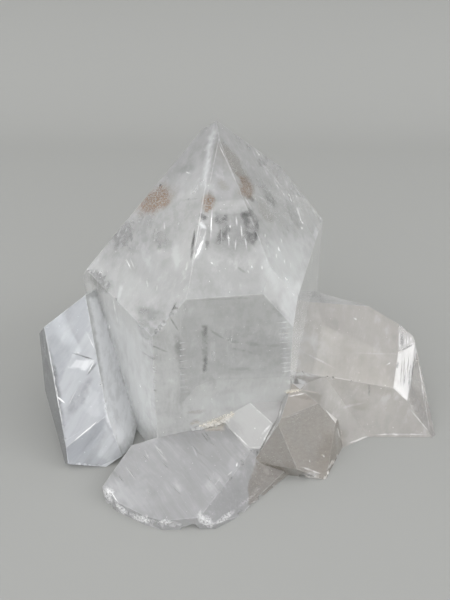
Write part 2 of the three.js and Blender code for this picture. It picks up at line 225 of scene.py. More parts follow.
# Strokes of each mark and of the broken rims, from one pixel of the photograph to another:
# x, y, x, y, width, strength.
STROKES = {
    "rust": [
        (140, 211, 171, 190, 25, 1.0), (155, 192, 164, 186, 5, 1.0), (150, 206, 164, 195, 12, 1.0),
        (208, 194, 208, 210, 15, 0.9), (207, 199, 211, 202, 4, 1.0), (242, 177, 250, 198, 16, 0.85),
        (237, 172, 242, 178, 6, 0.4), (218, 182, 227, 189, 10, 0.3), (190, 424, 200, 420, 6, 0.4),
        (207, 430, 224, 430, 1.6, 0.7), (186, 413, 206, 411, 4, 0.3),
    ],
    "tan": [
        (220, 142, 246, 180, 14, 0.5), (352, 404, 368, 406, 14, 0.35), (300, 340, 312, 356, 14, 0.25),
        (260, 202, 272, 222, 12, 0.25), (294, 396, 318, 399, 5, 0.5),
    ],
    # Smoky patches, and painted shade: shading across the faces and the shadowed gap under the left crystal.
    "smoke_and_painted_shade": [
        (241, 214, 252, 216, 9, 1.0), (250, 226, 258, 240, 10, 1.0), (221, 216, 228, 234, 9, 0.9),
        (219, 234, 222, 245, 6, 0.6), (248, 196, 254, 201, 5, 0.7), (200, 214, 205, 218, 6, 0.8),
        (195, 228, 190.5, 260, 3, 1.0), (208, 226, 207, 250, 5, 0.6), (112, 246, 134, 222, 26, 0.6),
        (152, 230, 170, 248, 20, 0.45), (135, 308, 162, 318, 16, 0.4), (262, 190, 276, 206, 12, 0.6),
        (286, 198, 300, 228, 10, 0.35), (289, 214, 299, 227, 6, 0.4),
        (258, 160, 266, 166, 6, 0.4), (88, 272, 108, 291, 13, 0.6),
        (176, 172, 196, 166, 10, 0.3), (182, 200, 200, 198.5, 2, 0.5), (238, 268, 246, 273, 2.5, 0.7),
        (176, 334, 182, 372, 10, 0.4), (136, 320, 152, 336, 16, 0.4), (268, 300, 288, 320, 8, 0.3),
        (220, 330, 285, 345, 30, 0.25), (138, 326, 152, 342, 10, 0.35), (160, 185, 161, 186, 3, 0.9),
        (94, 372, 66, 420, 13, 0.35), (72, 353, 94, 359.5, 1.8, 0.9), (97, 362, 86, 376, 3, 0.6),
        (46, 338, 64, 436, 2, 0.6), (401, 351, 414, 343.5, 2, 1.0), (406.6, 366, 403.4, 387, 1.3, 0.8),
        (411.3, 358, 408, 388, 2, 0.8), (415.5, 352, 411, 383, 1.4, 0.8), (402, 332, 402, 348, 3.2, 0.8),
        (398, 362, 397, 368, 2, 0.8), (369, 384, 369, 396, 3, 0.4), (201, 432, 209, 443, 1.3, 0.6),
        (204, 431, 211, 440, 1.2, 0.5), (225, 482, 246, 500, 16, 0.12), (112, 470, 118, 478, 4, 0.3),
        (209, 329, 226, 340, 3, 0.4), (226, 340, 242, 343, 3.5, 0.45), (242, 343, 262, 345, 4, 0.4),
        (262, 345, 282, 346, 4, 0.35), (232, 348, 246, 351, 3, 0.4), (246, 351, 262, 355, 4, 0.3),
        (224, 368, 262, 370, 4, 0.3), (171, 312, 177, 302, 1.6, 0.9), (170, 317, 178, 331, 2, 0.5),
        (188, 301, 260, 297, 2.5, 0.3), (150, 345, 168, 352, 2, 0.5), (142, 352, 158, 362, 1.8, 0.45),
    ],
    # Milky haze, and painted light that brightens faces which lie in shade.
    "haze_and_painted_light": [
        (175, 240, 176, 270, 9, 0.35), (141, 240, 150, 270, 10, 0.35),
        (122, 283, 118, 300, 5, 0.5), (298, 300, 300, 360, 12, 0.35), (104, 320, 114, 400, 12, 0.4),
        (200, 222, 206, 228, 7, 0.9), (196, 262, 204, 236, 7, 0.4), (190, 441, 198, 458, 2, 0.35),
        (114, 478, 124, 492, 3, 0.35), (232, 456, 236, 478, 12, 0.25), (200, 404, 262, 396, 18, 0.3),
        (104, 440, 118, 424, 12, 0.3), (315, 226, 318, 244, 6, 0.5), (300, 474, 320, 477, 4, 0.4),
        (336, 430, 338, 452, 3, 0.4), (340, 408, 366, 402, 3, 0.3), (290, 385, 306, 380, 7, 0.7),
        (292, 376, 298, 372, 5, 0.5),
    ],
    "cream": [(284, 392, 300, 390, 4, 0.8), (300, 390, 320, 393, 2, 0.4), (190, 424, 204, 423, 5, 0.4)],
    # White cracks and flecks, and painted highlights along the ridges and edges of the crystals.
    "white_and_painted_highlight": [
        (204, 238, 196, 258, 3.2, 1.0), (212.2, 207, 210.4, 239, 1.5, 0.9),
        (199, 246, 194, 262, 1.5, 0.8), (206, 230, 203, 240, 1.6, 0.7), (188, 261, 186, 272, 3, 0.5),
        (126, 259, 131.6, 270, 1.5, 0.85), (130.4, 259, 134.5, 269, 1.5, 0.85),
        (146.8, 280, 147.4, 287, 1.6, 0.85), (157, 285, 157, 291, 1.6, 0.75), (186, 172, 191, 174, 2, 0.7),
        (164.4, 222, 164.4, 230, 1.5, 0.7), (262, 265, 262, 270, 2, 0.9), (248, 270, 249, 273, 1.8, 0.9),
        (211, 262, 213, 264, 2, 0.7), (265, 234, 265, 238, 2, 0.7), (278, 246, 279, 251, 2, 0.8),
        (276, 253, 277, 258, 1.8, 0.7), (268, 243, 268, 248, 1.6, 0.6), (290, 262, 291, 268, 1.6, 0.6),
        (221, 224, 222, 246, 1.4, 0.5), (228, 233, 229, 247, 1.6, 0.6), (236, 238, 235, 251, 1.6, 0.6),
        (245, 237, 247, 250, 1.6, 0.6), (256, 230, 262, 247, 1.6, 0.5),
        (281, 238, 282, 243, 1.5, 0.6), (266, 256, 267, 262, 1.4, 0.5), (236, 216, 237, 226, 2, 0.5),
        (284, 258, 285, 264, 1.8, 0.7), (241, 224, 242, 238, 1.6, 0.6),
        (230, 225, 230, 228, 1.5, 0.8), (254, 194, 276, 206, 1.5, 0.5), (296, 205, 302, 224, 2.4, 0.5),
        (301, 226, 302, 229, 2, 0.8), (268, 170, 284, 190, 2, 0.35), (258, 160, 270, 172, 2, 0.35),
        (112, 294, 119, 329, 1.8, 0.6), (109, 324, 110, 330, 2, 0.9), (305, 290, 294, 337, 1.6, 0.6),
        (215, 128, 187, 297, 1.4, 0.5), (217, 140, 238, 186, 1.5, 0.6), (238, 186, 254, 213, 1.5, 0.35),
        (45, 328, 66, 446, 1.6, 0.75), (67, 447, 103, 416.5, 1.6, 0.9), (86, 331, 96, 352, 1.2, 0.6),
        (98, 364, 105, 400, 1.2, 0.6), (56, 396, 65.5, 403.5, 2, 1.0), (77, 352, 80, 354, 2, 0.9),
        (95, 360, 86, 376, 1.2, 0.9), (78, 387, 68, 406, 1.2, 0.5), (114, 420, 114, 440, 1.5, 0.5),
        (124, 464.5, 136.5, 481, 1.3, 0.8), (107, 487, 120.7, 506, 1.4, 0.9),
        (154.5, 444, 168.6, 463, 1.3, 0.75), (143, 447, 149.4, 460, 1.2, 0.5),
        (146.4, 488, 150.4, 494, 1.2, 0.5), (237.3, 462, 236.4, 467, 1.8, 1.0),
        (233, 471, 227.5, 475.6, 1.4, 0.9), (220, 478, 214, 486, 1.3, 0.4), (232, 430, 249, 447, 1.8, 0.6),
        (202, 425, 209, 423, 2, 0.8), (300, 350, 336, 369, 2, 0.3), (350, 353, 402, 354, 2, 0.2),
        (386, 365, 390.5, 362.5, 1.6, 0.8), (354, 318, 357, 320, 2, 0.6), (261, 436, 271, 424, 3, 0.6),
        (248, 448, 262, 447, 2, 0.5), (399.5, 331, 399.5, 349, 1.3, 0.6), (405.4, 338, 405, 346, 1.5, 0.6),
        (407.8, 335, 407.6, 345, 1.5, 0.6), (411, 337, 411, 341, 1.4, 0.5), (288, 381, 300, 380, 4, 0.5),
        (409, 408, 431, 434, 1.5, 0.5), (323, 455, 324, 457, 2, 0.6), (309, 460, 310, 462, 1.5, 0.4),
        (284, 418, 304, 411, 1.2, 0.4), (288, 396.5, 306, 393, 1.6, 0.7), (282, 404, 279, 419, 1.8, 0.7),
        (279, 420, 263, 446, 1.8, 0.7), (417, 353, 430, 432, 1.4, 0.6), (372, 434.5, 428, 434.5, 2, 0.6),
        (346, 444, 370, 435.5, 2, 0.5), (301, 467, 322, 474, 2, 0.6), (327, 471, 333, 460, 2, 0.5),
        (337, 426, 340, 440, 1.6, 0.5), (320, 405, 336, 422, 1.6, 0.5),
    ],
    "rim": [
        (103, 489, 112, 503, 7, 1.0), (112, 502, 132, 516, 7, 1.0), (130, 515, 154, 523, 8, 1.0),
        (154, 523, 178, 523, 6, 0.9), (198, 516, 213, 527, 9, 0.9), (214, 525, 236, 510, 6, 0.7),
        (236, 510, 262, 486, 5, 0.4),
    ],
}

# Areas of each mark: its strength, how soft its border is in pixels, and its corners in pixels.
AREAS = {
    # Milky haze, and painted light: the sheen and bright reflection on the left crystal, the sheen by the
    # tall crystal's top ridge, the right crystal's bright panel, and faces brightened out of shade.
    "haze_and_painted_light": [
        (0.4, 1, [(86, 330), (92.5, 336.5), (97, 360), (105.5, 406), (103.5, 416), (66.5, 448),
                  (56, 395), (64.5, 370), (76, 348)]),
        (1.0, 1, [(67, 368), (77, 359), (95, 360), (86, 372), (78, 368)]),
        (0.7, 2.5, [(213.5, 125), (217, 130), (214, 146), (210.5, 165), (206.5, 188), (202, 186), (204, 165),
                    (208, 142)]),
        (0.15, 8, [(212, 130), (206, 190), (178, 205), (172, 172)]),
        (0.5, 0.8, [(414.4, 342.3), (398.7, 354), (393.7, 387.6), (407.6, 401.2), (417, 350.8)]),
        (0.2, 0.8, [(400, 331), (414, 341), (400, 350), (397, 343)]),
        (0.5, 8, [(92, 300), (150, 336), (156, 438), (114, 440), (108, 396), (98, 340)]),
        (1.0, 2, [(88, 300), (98, 296), (116, 350), (136, 424), (124, 458), (106, 420), (98, 350)]),
        (0.4, 8, [(262, 236), (314, 236), (296, 300), (262, 286)]),
        (0.45, 5, [(276, 304), (306, 262), (294, 376), (288, 360)]),
        (0.55, 5, [(86, 378), (102, 390), (104, 414), (86, 426), (80, 400)]),
        (0.55, 3, [(104, 419), (124, 454), (112, 466), (98, 456)]),
        (0.35, 8, [(108, 488), (142, 478), (152, 512), (126, 512)]),
    ],
    # Smoky patches, and painted shade: the darker front face of the tall crystal, the dark bar in it where an
    # edge is reflected, and shaded places on its other faces.
    "smoke_and_painted_shade": [
        (0.42, 5, [(213, 213), (250, 208), (256, 216), (258, 236), (252, 250), (236, 254), (212, 248)]),
        (0.35, 9, [(146, 204), (204, 192), (196, 226), (150, 250), (108, 258), (112, 240)]),
        (0.9, 3, [(215, 213), (229, 213), (230, 231), (224, 243), (218, 241)]),
        (0.85, 3, [(240, 212), (251, 209), (259, 233), (254, 244), (246, 240)]),
        (0.14, 1.2, [(216.5, 134), (206.5, 176), (234, 176)]),
        (0.6, 0.8, [(201.5, 325), (207.5, 325), (207, 371), (203, 374)]),
        (0.16, 1.5, [(184, 300), (262, 296), (286, 318), (284, 374), (208, 375), (181, 406), (180, 330)]),
        (0.08, 6, [(284, 480), (252, 500), (222, 512), (222, 480), (252, 462)]),
        (0.15, 7, [(240, 160), (300, 206), (290, 232), (262, 222)]),
    ],
    "tan": [
        (0.75, 1, [(261, 447), (253, 471), (248.5, 482), (248, 506), (292, 480), (286, 468), (258, 461)]),
        (0.5, 1, [(304, 391), (322, 395), (319, 404), (307, 393)]),
        (0.6, 6, [(324, 434), (344, 430), (338, 466), (316, 476), (316, 458)]),
        (0.3, 8, [(316, 326), (350, 346), (396, 368), (396, 394), (346, 388), (320, 368)]),
    ],
    "cream": [
        (0.8, 1.5, [(200, 425), (208, 422), (214, 418.5), (224, 417), (232, 412), (235, 415), (225, 423),
                    (224, 430), (206, 430)]),
    ],
}

# Crust in the seams: x, y, x, y, width in pixels, number of grains. Its grains' radius is in mm.
CRUST = [(199, 426, 212, 422, 1.0, 40), (207, 424, 234, 413, 2.5, 110), (286, 393, 302, 390, 1.0, 40)]
GRAIN_SIZE = (0.2, 0.45)
CRUST_PALE = (0.68, 0.645, 0.57, 1)
CRUST_STAIN = (0.50, 0.37, 0.25, 1)
CRUST_GRIT = (0.86, 0.84, 0.78, 1)

# Thin cracks and films deep in the crystals, and among the smoky patches a dark bar of painted
# shade where an edge is reflected. Each piece: its material's name, colour and roughness, and its
# strokes as above, with a depth in mm and a number of flakes in place of a strength.
DEEP_MARKS = {
    "iron_stains": ("iron_stain", (0.42, 0.23, 0.09), 0.6, [
        (143, 207, 166, 192, 17, 3, 900), (207, 195, 208, 209, 8, 3, 300), (242, 177, 249, 195, 8, 3, 320)]),
    # Two smoky patches, and a dark bar of painted shade where an edge is reflected.
    "smoky_patches_and_painted_shade": ("smoke_and_painted_shade", (0.10, 0.10, 0.10), 0.6, [
        (220, 215, 228, 244, 16, 6, 900), (243, 214, 258, 238, 14, 5, 900), (205, 328, 204, 372, 5, 9, 200)]),
    "bright_cracks": ("crack", (1, 1, 1), 0.2, [
        (203, 222, 196, 262, 4, 3, 300), (72, 366, 90, 363, 6, 3, 200)]),
}


def make_camera():
    """The photograph's camera."""
    data = bpy.data.cameras.new("camera")
    data.lens = CAMERA_LENS
    data.sensor_width = SENSOR_WIDTH
    data.clip_start = 0.01
    camera = bpy.data.objects.new("camera", data)
    camera.location = CAMERA_PLACE
    camera.rotation_euler = (math.pi / 2 - CAMERA_TILT, 0, 0)
    bpy.context.scene.collection.objects.link(camera)
    bpy.context.scene.camera = camera


def ray_through(x, y):
    """Direction of the photograph's ray through a pixel, in the part's frame."""
    right = Vector((1, 0, 0))
    forward = Vector((0, math.cos(CAMERA_TILT), -math.sin(CAMERA_TILT)))
    up = Vector((0, math.sin(CAMERA_TILT), math.cos(CAMERA_TILT)))
    across = (x - PICTURE_MIDDLE[0]) / PIXELS_PER_SLOPE
    above = (PICTURE_MIDDLE[1] - y) / PIXELS_PER_SLOPE
    return (forward + across * right + above * up).normalized()


def principled(name, color, roughness):
    """A plain material, whose shader can be given more."""
    material = bpy.data.materials.new(name)
    material.use_nodes = True
    shader = material.node_tree.nodes["Principled BSDF"]
    shader.inputs["Base Color"].default_value = (*color, 1)
    shader.inputs["Roughness"].default_value = roughness
    return material


class Graph:
    """Short calls for building a node tree."""

    def __init__(self, tree):
        self.tree = tree

    def node(self, kind, inputs=(), **settings):
        """A new node with its settings and the values or links of its inputs."""
        made = self.tree.nodes.new(kind)
        for key, value in settings.items():
            setattr(made, key, value)
        for key, value in dict(inputs).items():
            self.give(made.inputs[key], value)
        return made

    def give(self, socket, value):
        """Links a socket to another one, or sets its value."""
        if isinstance(value, bpy.types.NodeSocket):
            self.tree.links.new(value, socket)
        else:
            socket.default_value = value

    def math(self, operation, a, b=0.0, c=0.0):
        return self.node("ShaderNodeMath", {0: a, 1: b, 2: c}, operation=operation).outputs[0]

    def times(self, a, b):
        return self.math("MULTIPLY", a, b)

    def vector(self, operation, a, b=(0, 0, 0)):
        return self.node("ShaderNodeVectorMath", {0: a, 1: b}, operation=operation).outputs["Vector"]

    def dot(self, a, b):
        return self.node("ShaderNodeVectorMath", {0: a, 1: b}, operation="DOT_PRODUCT").outputs["Value"]

    def scaled(self, vector, factor):
        made = self.node("ShaderNodeVectorMath", {0: vector, "Scale": factor}, operation="SCALE")
        return made.outputs["Vector"]

    def noise(self, vector, size, detail=3.0, rough=0.5):
        """Noise from 0 to 1 whose features are about that many mm across."""
        made = self.node("ShaderNodeTexNoise", {
            "Vector": vector, "Scale": 1 / (size * MM), "Detail": detail, "Roughness": rough})
        return made.outputs["Fac"]

    def ramp(self, value, low, high, out_low=0.0, out_high=1.0):
        """Goes smoothly from one output to the other as the value goes from low to high."""
        made = self.node("ShaderNodeMapRange", {
            "Value": value, "From Min": low, "From Max": high, "To Min": out_low, "To Max": out_high},
            interpolation_type="SMOOTHSTEP")
        return made.outputs["Result"]

    def mix(self, factor, a, b):
        made = self.node("ShaderNodeMix", {0: factor, 6: a, 7: b}, data_type="RGBA")
        return made.outputs[2]

    def attribute(self, name, output="Fac"):
        return self.node("ShaderNodeAttribute", attribute_name=name).outputs[output]


def make_stage():
    """A pale floor that curves up into a pale wall well behind the object."""
    profile = [(-STAGE_REACH, 0)]
    for step in range(STAGE_BEND_STEPS + 1):
        angle = math.radians(90 * step / STAGE_BEND_STEPS)
        profile.append((STAGE_FLOOR_END + STAGE_BEND * math.sin(angle), STAGE_BEND * (1 - math.cos(angle))))
    profile.append((STAGE_FLOOR_END + STAGE_BEND, STAGE_REACH))
    points = [(x, y, z - STAGE_DROP) for y, z in profile for x in (-STAGE_REACH, STAGE_REACH)]
    faces = [(2 * i, 2 * i + 1, 2 * i + 3, 2 * i + 2) for i in range(len(profile) - 1)]
    data = bpy.data.meshes.new("stage")
    data.from_pydata(points, [], faces)
    for face in data.polygons:
        face.use_smooth = True
    stage = bpy.data.objects.new("stage", data)
    bpy.context.scene.collection.objects.link(stage)
    data.materials.append(principled("stage", STAGE_COLOR, 0.8))


def compass(azimuth, elevation):
    """A direction from its compass angle, measured from +X towards +Y, and its height, in degrees."""
    azimuth, elevation = math.radians(azimuth), math.radians(elevation)
    return Vector((math.cos(azimuth) * math.cos(elevation), math.sin(azimuth) * math.cos(elevation),
                   math.sin(elevation)))


def window_light(graph, direction, azimuth, elevation, wide, tall, strength):
    """A soft bright window in the sky: where it is, its half width and height in slope, and its light."""
    centre = compass(azimuth, elevation)
    right = centre.cross(Vector((0, 0, 1))).normalized()
    ahead = graph.dot(direction, centre)
    light = graph.ramp(ahead, 0.2, 0.4, 0, strength)
    for side, half in ((right, wide), (right.cross(centre), tall)):
        slope = graph.math("ABSOLUTE", graph.math("DIVIDE", graph.dot(direction, side), ahead))
        light = graph.times(light, graph.ramp(slope, half * 1.25, half * 0.85))
    return light


def make_light():
    """A soft sky, brightest high on the left, with two windows. The camera sees it as pale as the wall."""
    world = bpy.data.worlds.new("studio")
    bpy.context.scene.world = world
    world.use_nodes = True
    graph = Graph(world.node_tree)
    background = graph.tree.nodes["Background"]
    direction = graph.node("ShaderNodeTexCoord").outputs["Generated"]
    height = graph.dot(direction, Vector(SKY_BRIGHTEST).normalized())
    light = graph.ramp(height, -0.2, 1.0, *SKY_LIGHT)
    for window in WINDOWS:
        light = graph.math("ADD", light, window_light(graph, direction, *window))
    lit = graph.scaled(SKY_TINT, light)
    seen = graph.node("ShaderNodeLightPath").outputs["Is Camera Ray"]
    graph.give(background.inputs["Color"], graph.mix(seen, lit, BACKDROP_COLOR))
    bpy.context.scene.view_settings.view_transform = "Standard"


class Body:
    """The crystal body, with its faces named and its inside measured."""

    def __init__(self, node):
        self.mesh = bmesh.new()
        self.mesh.from_mesh(node.data)
        bmesh.ops.remove_doubles(self.mesh, verts=self.mesh.verts, dist=MERGE_DISTANCE * MM)
        bmesh.ops.dissolve_limit(
            self.mesh, angle_limit=MERGE_ANGLE, verts=self.mesh.verts, edges=self.mesh.edges)
        for part in (self.mesh.verts, self.mesh.edges, self.mesh.faces):
            part.index_update()
            part.ensure_lookup_table()
        self.tree = BVHTree.FromBMesh(self.mesh)
        self.name_faces()

    def hit(self, x, y):
        """The point, normal and face of the body under a pixel of the photograph."""
        place, normal, index, _ = self.tree.ray_cast(CAMERA_PLACE, ray_through(x, y))
        return place, normal, index

    def behind(self, x, y, depth):
        """The place that a pixel shows, that deep behind the face, or None off the body."""
        place, normal, _ = self.hit(x, y)
        if place is None:
            return None
        ray = ray_through(x, y)
        cosine = -ray.dot(normal)
        bent = ray / IOR + normal * (cosine / IOR - math.sqrt(1 - (1 - cosine * cosine) / IOR ** 2))
        return place + bent.normalized() * depth

    def holds(self, place, margin):
        """True if the place is inside the body and at least margin from its faces."""
        _, _, _, distance = self.tree.find_nearest(place)
        if distance <= margin:
            return False
        _, normal, _, _ = self.tree.ray_cast(place, Vector((0, 0, 1)))
        return normal is not None and normal.z > 0

    def name_faces(self):
        """Finds the crystal and the painted light or shade of every face: its own, or those of the nearest
        known face.
        """
        known = {}
        for name, crystal in CRYSTALS.items():
            for pixel, painted_face_shading in crystal["faces"].items():
                place, normal, _ = self.hit(*pixel)
                for face in self.mesh.faces:
                    level = face.normal.dot(normal) > LEVEL_COSINE
                    if level and abs((face.verts[0].co - place).dot(normal)) < LEVEL_DISTANCE * MM:
                        known[face.index] = (name, painted_face_shading)
        corners = [(v.co, i) for i in known for v in self.mesh.faces[i].verts]
        self.face_names = []
        for face in self.mesh.faces:
            found = known.get(face.index)
            if found is None:
                middle = face.calc_center_median()
                name, painted_face_shading = known[min(((c - middle).length, i) for c, i in corners)[1]]
                found = (name, painted_face_shading)
            self.face_names.append(found)

    def crystal_at(self, face):
        """The crystal that a face belongs to."""
        return CRYSTALS[self.face_names[face][0]]


def stroke_frame(body, stroke):
    """The middle of a stroke, and its half length, half width and reach in depth, on the face it marks."""
    x0, y0, x1, y1, width, *_ = stroke
    x, y = (x0 + x1) / 2, (y0 + y1) / 2
    middle, normal, _ = body.hit(x, y)
    length = math.hypot(x1 - x0, y1 - y0)
    ahead = Vector((x1 - x0, y1 - y0)) / length
    ends = []
    for step, half in ((ahead, length / 2 + width * 0.2), (Vector((-ahead.y, ahead.x)), width / 2)):
        ray = ray_through(x + step.x, y + step.y)
        place = CAMERA_PLACE + ray * (middle - CAMERA_PLACE).dot(normal) / ray.dot(normal)
        ends.append((place - middle) * half)
    ends.append(normal * max(ends[1].length * 1.5, 3 * MM))
    return np.array(middle), np.array(ends)


def stroke_strength(body, stroke, points, sway):
    """How strongly a stroke marks each point: full in its middle, nothing past its ragged edge."""
    middle, ends = stroke_frame(body, stroke)
    ragged = min(np.linalg.norm(ends[1]) * RAGGED_SHARE, RAGGED_MOST * MM)
    local = (points + sway * ragged - middle) @ np.linalg.inv(ends)
    reach = np.clip((STROKE_END - np.linalg.norm(local, axis=1)) / STROKE_FADE, 0, 1)
    rounded = reach * reach * (3 - 2 * reach)
    return stroke[5] * np.minimum(1, STROKE_GAIN * rounded)


def pixels_of(points):
    """Where each point is in the photograph."""
    away = points - np.array(CAMERA_PLACE)
    turn = np.array([(1, 0, 0), (0, math.cos(CAMERA_TILT), -math.sin(CAMERA_TILT)),
                     (0, math.sin(CAMERA_TILT), math.cos(CAMERA_TILT))])
    across, ahead, above = (away @ turn.T).T
    return np.stack((PICTURE_MIDDLE[0] + PIXELS_PER_SLOPE * across / ahead,
                     PICTURE_MIDDLE[1] - PIXELS_PER_SLOPE * above / ahead), axis=1)


def seen_points(body, points):
    """Which points the photograph shows: those with no other face in front of them."""
    seen = []
    for point in points:
        away = Vector(point) - CAMERA_PLACE
        _, _, _, distance = body.tree.ray_cast(CAMERA_PLACE, away.normalized())
        seen.append(distance is not None and distance > away.length - SEEN_WITHIN * MM)
    return np.array(seen)


def area_strength(area, pixels, seen, sway):
    """How strongly an area marks each point: full inside its corners, fading over its soft border."""
    strength, soft, corners = area
    inside, distance = ring_distance(pixels + sway * soft, np.array(corners, float))
    signed = np.where(inside, distance, -distance)
    return strength * np.clip(0.5 + signed / (2 * soft), 0, 1) * seen


def narrow_stroke_points(body):
    """Points in rows along the narrow strokes, by face, so that the mesh is fine enough for them."""
    found = {}
    for strokes in STROKES.values():
        for x0, y0, x1, y1, width, _ in strokes:
            if width > NARROW_WIDTH:
                continue
            along = Vector((x1 - x0, y1 - y0))
            across = Vector((-along.y, along.x)).normalized() * width / 2
            steps = max(3, round(along.length / NARROW_STEP))
            for i in range(-1, steps + 2):
                for j in NARROW_ROWS:
                    x, y = Vector((x0, y0)) + along * i / steps + across * j
                    place, _, face = body.hit(x, y)
                    if face is not None:
                        found.setdefault(face, []).append(place)
    return found


def ring_distance(points, ring):
    """Whether each flat point is inside a ring, and its distance from it."""
    start, finish = ring, np.roll(ring, -1, axis=0)
    side = finish - start
    away = points[:, None, :] - start[None]
    share = np.clip((away * side).sum(2) / np.maximum((side * side).sum(1), 1e-12), 0, 1)
    distance = np.linalg.norm(away - share[:, :, None] * side, axis=2).min(1)
    spans = (start[:, 1] > points[:, None, 1]) != (finish[:, 1] > points[:, None, 1])
    rise = np.where(side[:, 1] == 0, 1, side[:, 1])
    crossing = start[:, 0] + (points[:, None, 1] - start[:, 1]) / rise * side[:, 0]
    return (spans & (points[:, None, 0] < crossing)).sum(1) % 2 == 1, distance


def inner_points(flat, spacing, extra):
    """Flat points to put inside a face: a row beside its border, a staggered grid, and the extra ones."""
    before, after = np.roll(flat, 1, axis=0) - flat, np.roll(flat, -1, axis=0) - flat
    before /= np.linalg.norm(before, axis=1, keepdims=True)
    after /= np.linalg.norm(after, axis=1, keepdims=True)
    inward = np.stack((-after[:, 1] + before[:, 1], after[:, 0] - before[:, 0]), axis=1)
    length = np.linalg.norm(inward, axis=1, keepdims=True)
    row = flat + inward / np.maximum(length, 0.3) * EDGE_WIDTH * 1.05
    low, high = flat.min(0), flat.max(0)
    rise = spacing * math.sqrt(3) / 2
    grid = [(x + (k % 2) * spacing / 2, y)
            for k, y in enumerate(np.arange(low[1], high[1], rise))
            for x in np.arange(low[0], high[0], spacing)]
    kept = []
    for points, margin in ((row, EDGE_WIDTH * 0.7), (np.array(grid), EDGE_WIDTH * 1.6), (extra, 0.3)):
        if len(points):
            inside, distance = ring_distance(points, flat)
            kept.append(points[inside & (distance > margin)])
    return np.concatenate(kept) if kept else np.zeros((0, 2))


def fills(ring, triangles):
    """Whether the triangles fill a ring of points: none overlap, and only the ring is left open."""
    edges = [edge for a, b, c in triangles for edge in ((a, b), (b, c), (c, a))]
    found = set(edges)
    border = {(a, b) for a, b in found if (b, a) not in found}
    return len(found) == len(edges) and border == set(zip(ring, ring[1:] + ring[:1]))


def cut_edges(body):
    """The body's corners and points along its edges.

    Returns the points, which of them lie on a sharp edge, and the new ones on each edge in order."""
    points = [v.co.copy() for v in body.mesh.verts]
    on_edge = [False] * len(points)
    between = {}
    for edge in body.mesh.edges:
        a, b = edge.verts
        cuts = int(edge.calc_length() / (NEAR_SPACING * 1.2 * MM))
        between[edge.index] = list(range(len(points), len(points) + cuts))
        points += [a.co.lerp(b.co, (i + 1) / (cuts + 1)) for i in range(cuts)]
        sharp = edge.calc_face_angle_signed(0) > SHARP_ANGLE and all(
            face.calc_area() > EDGED_AREA * MM ** 2 for face in edge.link_faces)
        on_edge += [sharp] * cuts
        if sharp and edge.calc_length() > CORNERED_LENGTH * MM:
            on_edge[a.index] = on_edge[b.index] = True
    return points, on_edge, between


def cut_face(face, ring, points, extra):
    """Small triangles that fill a face, and the new points inside its ring that they need.

    The new points are numbered from the number of points up. Both are empty where the cut fails."""
    origin, normal = face.verts[0].co, face.normal
    across = normal.orthogonal().normalized()
    axes = np.array((across, normal.cross(across)))
    flat = np.array([points[i] - origin for i in ring]) @ axes.T / MM
    more = np.array([p - origin for p in extra]).reshape(-1, 3) @ axes.T / MM
    near = (CAMERA_PLACE - face.calc_center_median()).dot(normal) > 0
    inner = inner_points(flat, NEAR_SPACING if near else FAR_SPACING, more)
    if normal.z < -0.999:
        inner = inner[:0]
    own = ring + list(range(len(points), len(points) + len(inner)))
    cut = geometry.delaunay_2d_cdt(
        [Vector(p) for p in (*flat, *inner)], [], [list(range(len(flat)))], 1, 1e-6)
    source = [own[min(found)] if found else -1 for found in cut[3]]
    made = [tuple(source[i] for i in t) for t in cut[2]]
    if not made or not fills(ring, made):
        return [], []
    used = sorted({i for t in made for i in t if i >= len(points)})
    renamed = {i: len(points) + k for k, i in enumerate(used)}
    made = [tuple(renamed.get(i, i) for i in t) for t in made]
    inner = inner[[i - len(points) for i in used]]
    return made, [origin + Vector(p @ axes) * MM for p in inner]


def whole_face(ring, points):
    """Triangles that fill a face with no new points."""
    made = [tuple(ring[i] for i in t)
            for t in geometry.tessellate_polygon([[points[i] for i in ring]])]
    if not fills(ring, made):
        made = [t[::-1] for t in made]
    return made


def fine_triangles(body):
    """Cuts the body's faces into small triangles in their own planes, to paint on.

    Returns the points, the triangles, each triangle's face, and which points lie on a sharp edge."""
    points, on_edge, between = cut_edges(body)
    extra = narrow_stroke_points(body)
    triangles, parents = [], []
    for face in body.mesh.faces:
        ring = []
        for loop in face.loops:
            cuts = between[loop.edge.index]
            ring += [loop.vert.index] + (cuts if loop.edge.verts[0] == loop.vert else cuts[::-1])
        made, new = [], []
        if face.calc_area() > WHOLE_AREA * MM ** 2:
            made, new = cut_face(face, ring, points, extra.get(face.index, []))
        if not made:
            made = whole_face(ring, points)
        points += new
        on_edge += [False] * len(new)
        triangles += made
        parents += [face.index] * len(made)
    return points, triangles, parents, on_edge


def add_values(data, name, kind, domain, values):
    """Stores one value for each point or face of a mesh."""
    made = data.attributes.new(name, kind, domain)
    field = {"FLOAT": "value", "FLOAT_COLOR": "color", "FLOAT_VECTOR": "vector"}[kind]
    made.data.foreach_set(field, np.asarray(values, np.float32).ravel())


def paint_marks(body, data, points):
    """Stores how strongly each mark shows at each point."""
    places = np.array(points)
    sway = np.array([noise.noise_vector(p * SWAY_COARSE) + noise.noise_vector(p * SWAY_FINE) * SWAY_FINE_SHARE
                     for p in points])
    pixels, seen = pixels_of(places), seen_points(body, points)
    for mark, strokes in STROKES.items():
        strength = np.zeros(len(places))
        for stroke in strokes:
            strength = np.maximum(strength, stroke_strength(body, stroke, places, sway))
        for area in AREAS.get(mark, ()):
            strength = np.maximum(strength, area_strength(area, pixels, seen, sway[:, :2]))
        add_values(data, mark, "FLOAT", "POINT", strength)


